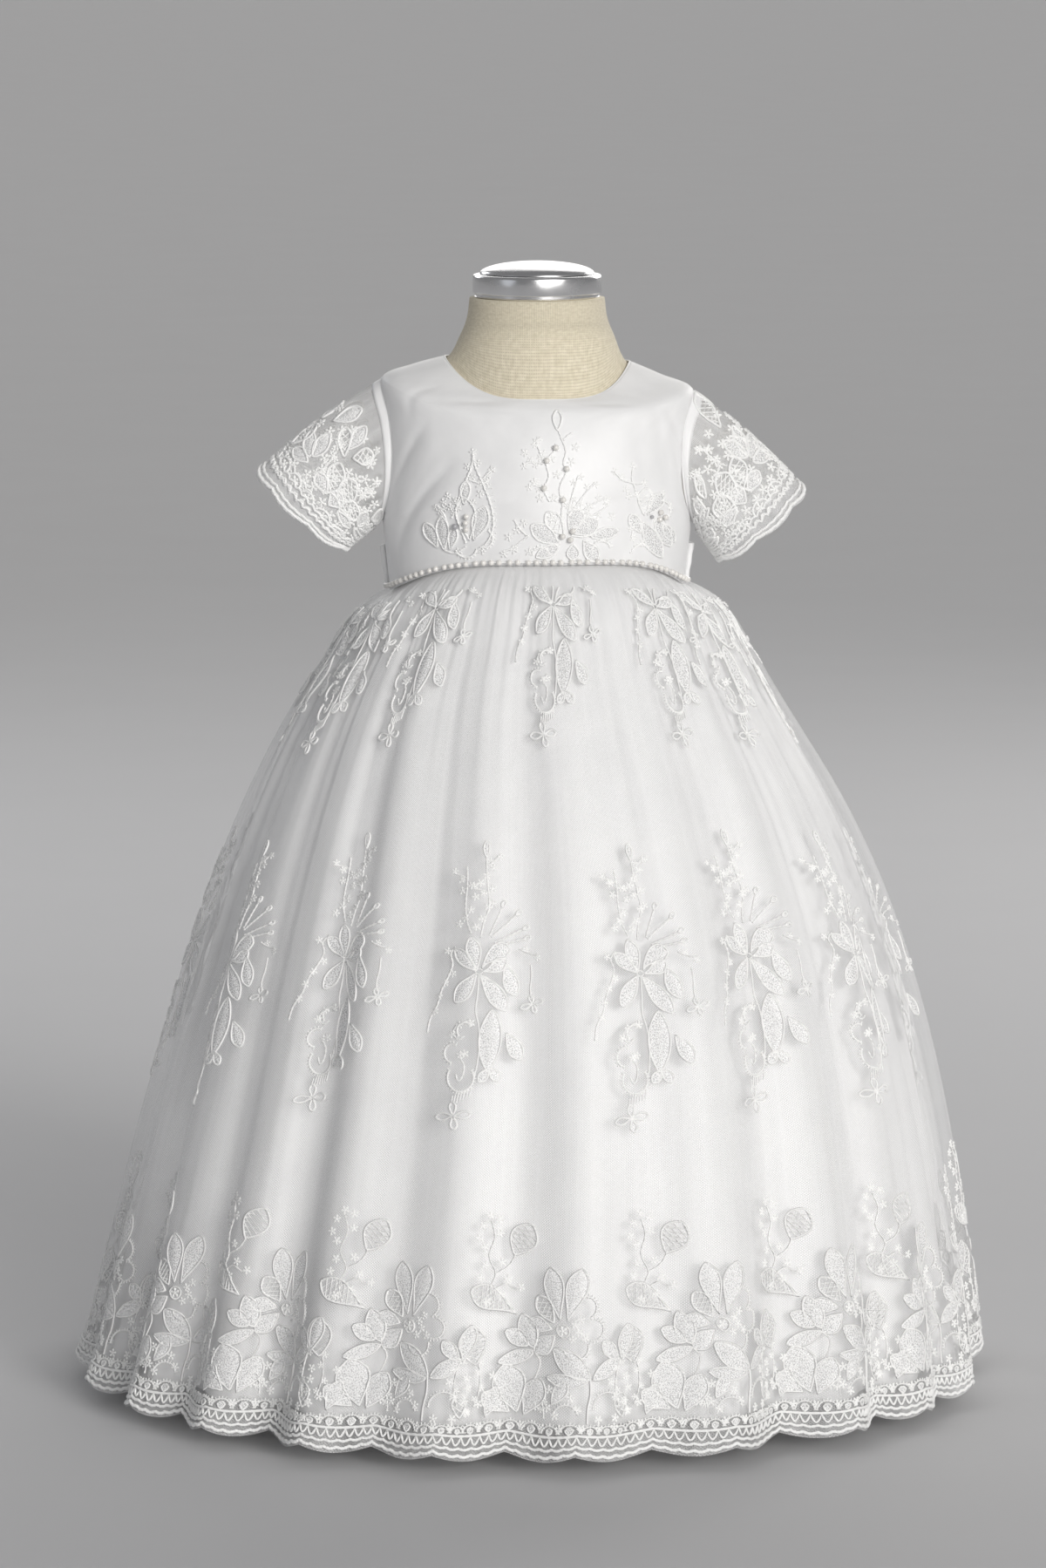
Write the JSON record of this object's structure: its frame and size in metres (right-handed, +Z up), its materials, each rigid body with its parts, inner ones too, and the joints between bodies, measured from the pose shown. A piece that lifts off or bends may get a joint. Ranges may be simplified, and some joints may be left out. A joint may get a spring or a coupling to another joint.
{
  "type": "christening gown on an infant dress form",
  "caption": "Long full-skirted christening gown with a satin bodice, short embroidered net sleeves and a scalloped net overskirt, shown on a limbless infant dress form on a round stand.",
  "frame": {"origin": "centre of the underside of the stand's round base, on the floor", "axes": "+Z up; -Y is the gown's front; +X is the wearer's left"},
  "size_m": [0.5256, 0.5234, 0.6446],
  "materials": {
    "satin": "white satin with a soft sheen",
    "net": "fine white net, corded and embroidered",
    "lace": "white corded lace",
    "pearl": "pearl lustre",
    "linen": "unbleached plain-weave linen, taut over the form",
    "chrome": "polished",
    "painted_steel": "satin black paint"
  },
  "bodies": {
    "root": {"bodice_front": "satin", "bodice_back_left": "satin", "bodice_back_right": "satin", "placket": "satin", "button_1": "pearl", "button_2": "pearl", "button_3": "pearl", "button_4": "pearl", "sleeve_left": "net", "sleeve_right": "net", "overskirt": "net", "underskirt": "satin", "pearl_strand": "pearl", "applique_right": "lace", "applique_centre": "lace", "applique_left": "lace", "tie_left": "satin", "tie_right": "satin", "bow_knot": "satin", "bow_loop_left": "satin", "bow_loop_right": "satin", "tie_tail_left": "satin", "tie_tail_right": "satin", "form_torso": "linen", "form_neck_plate": "chrome", "form_neck_cap": "chrome", "form_pole": "painted_steel", "form_base": "painted_steel"}
  },
  "joints": []
}
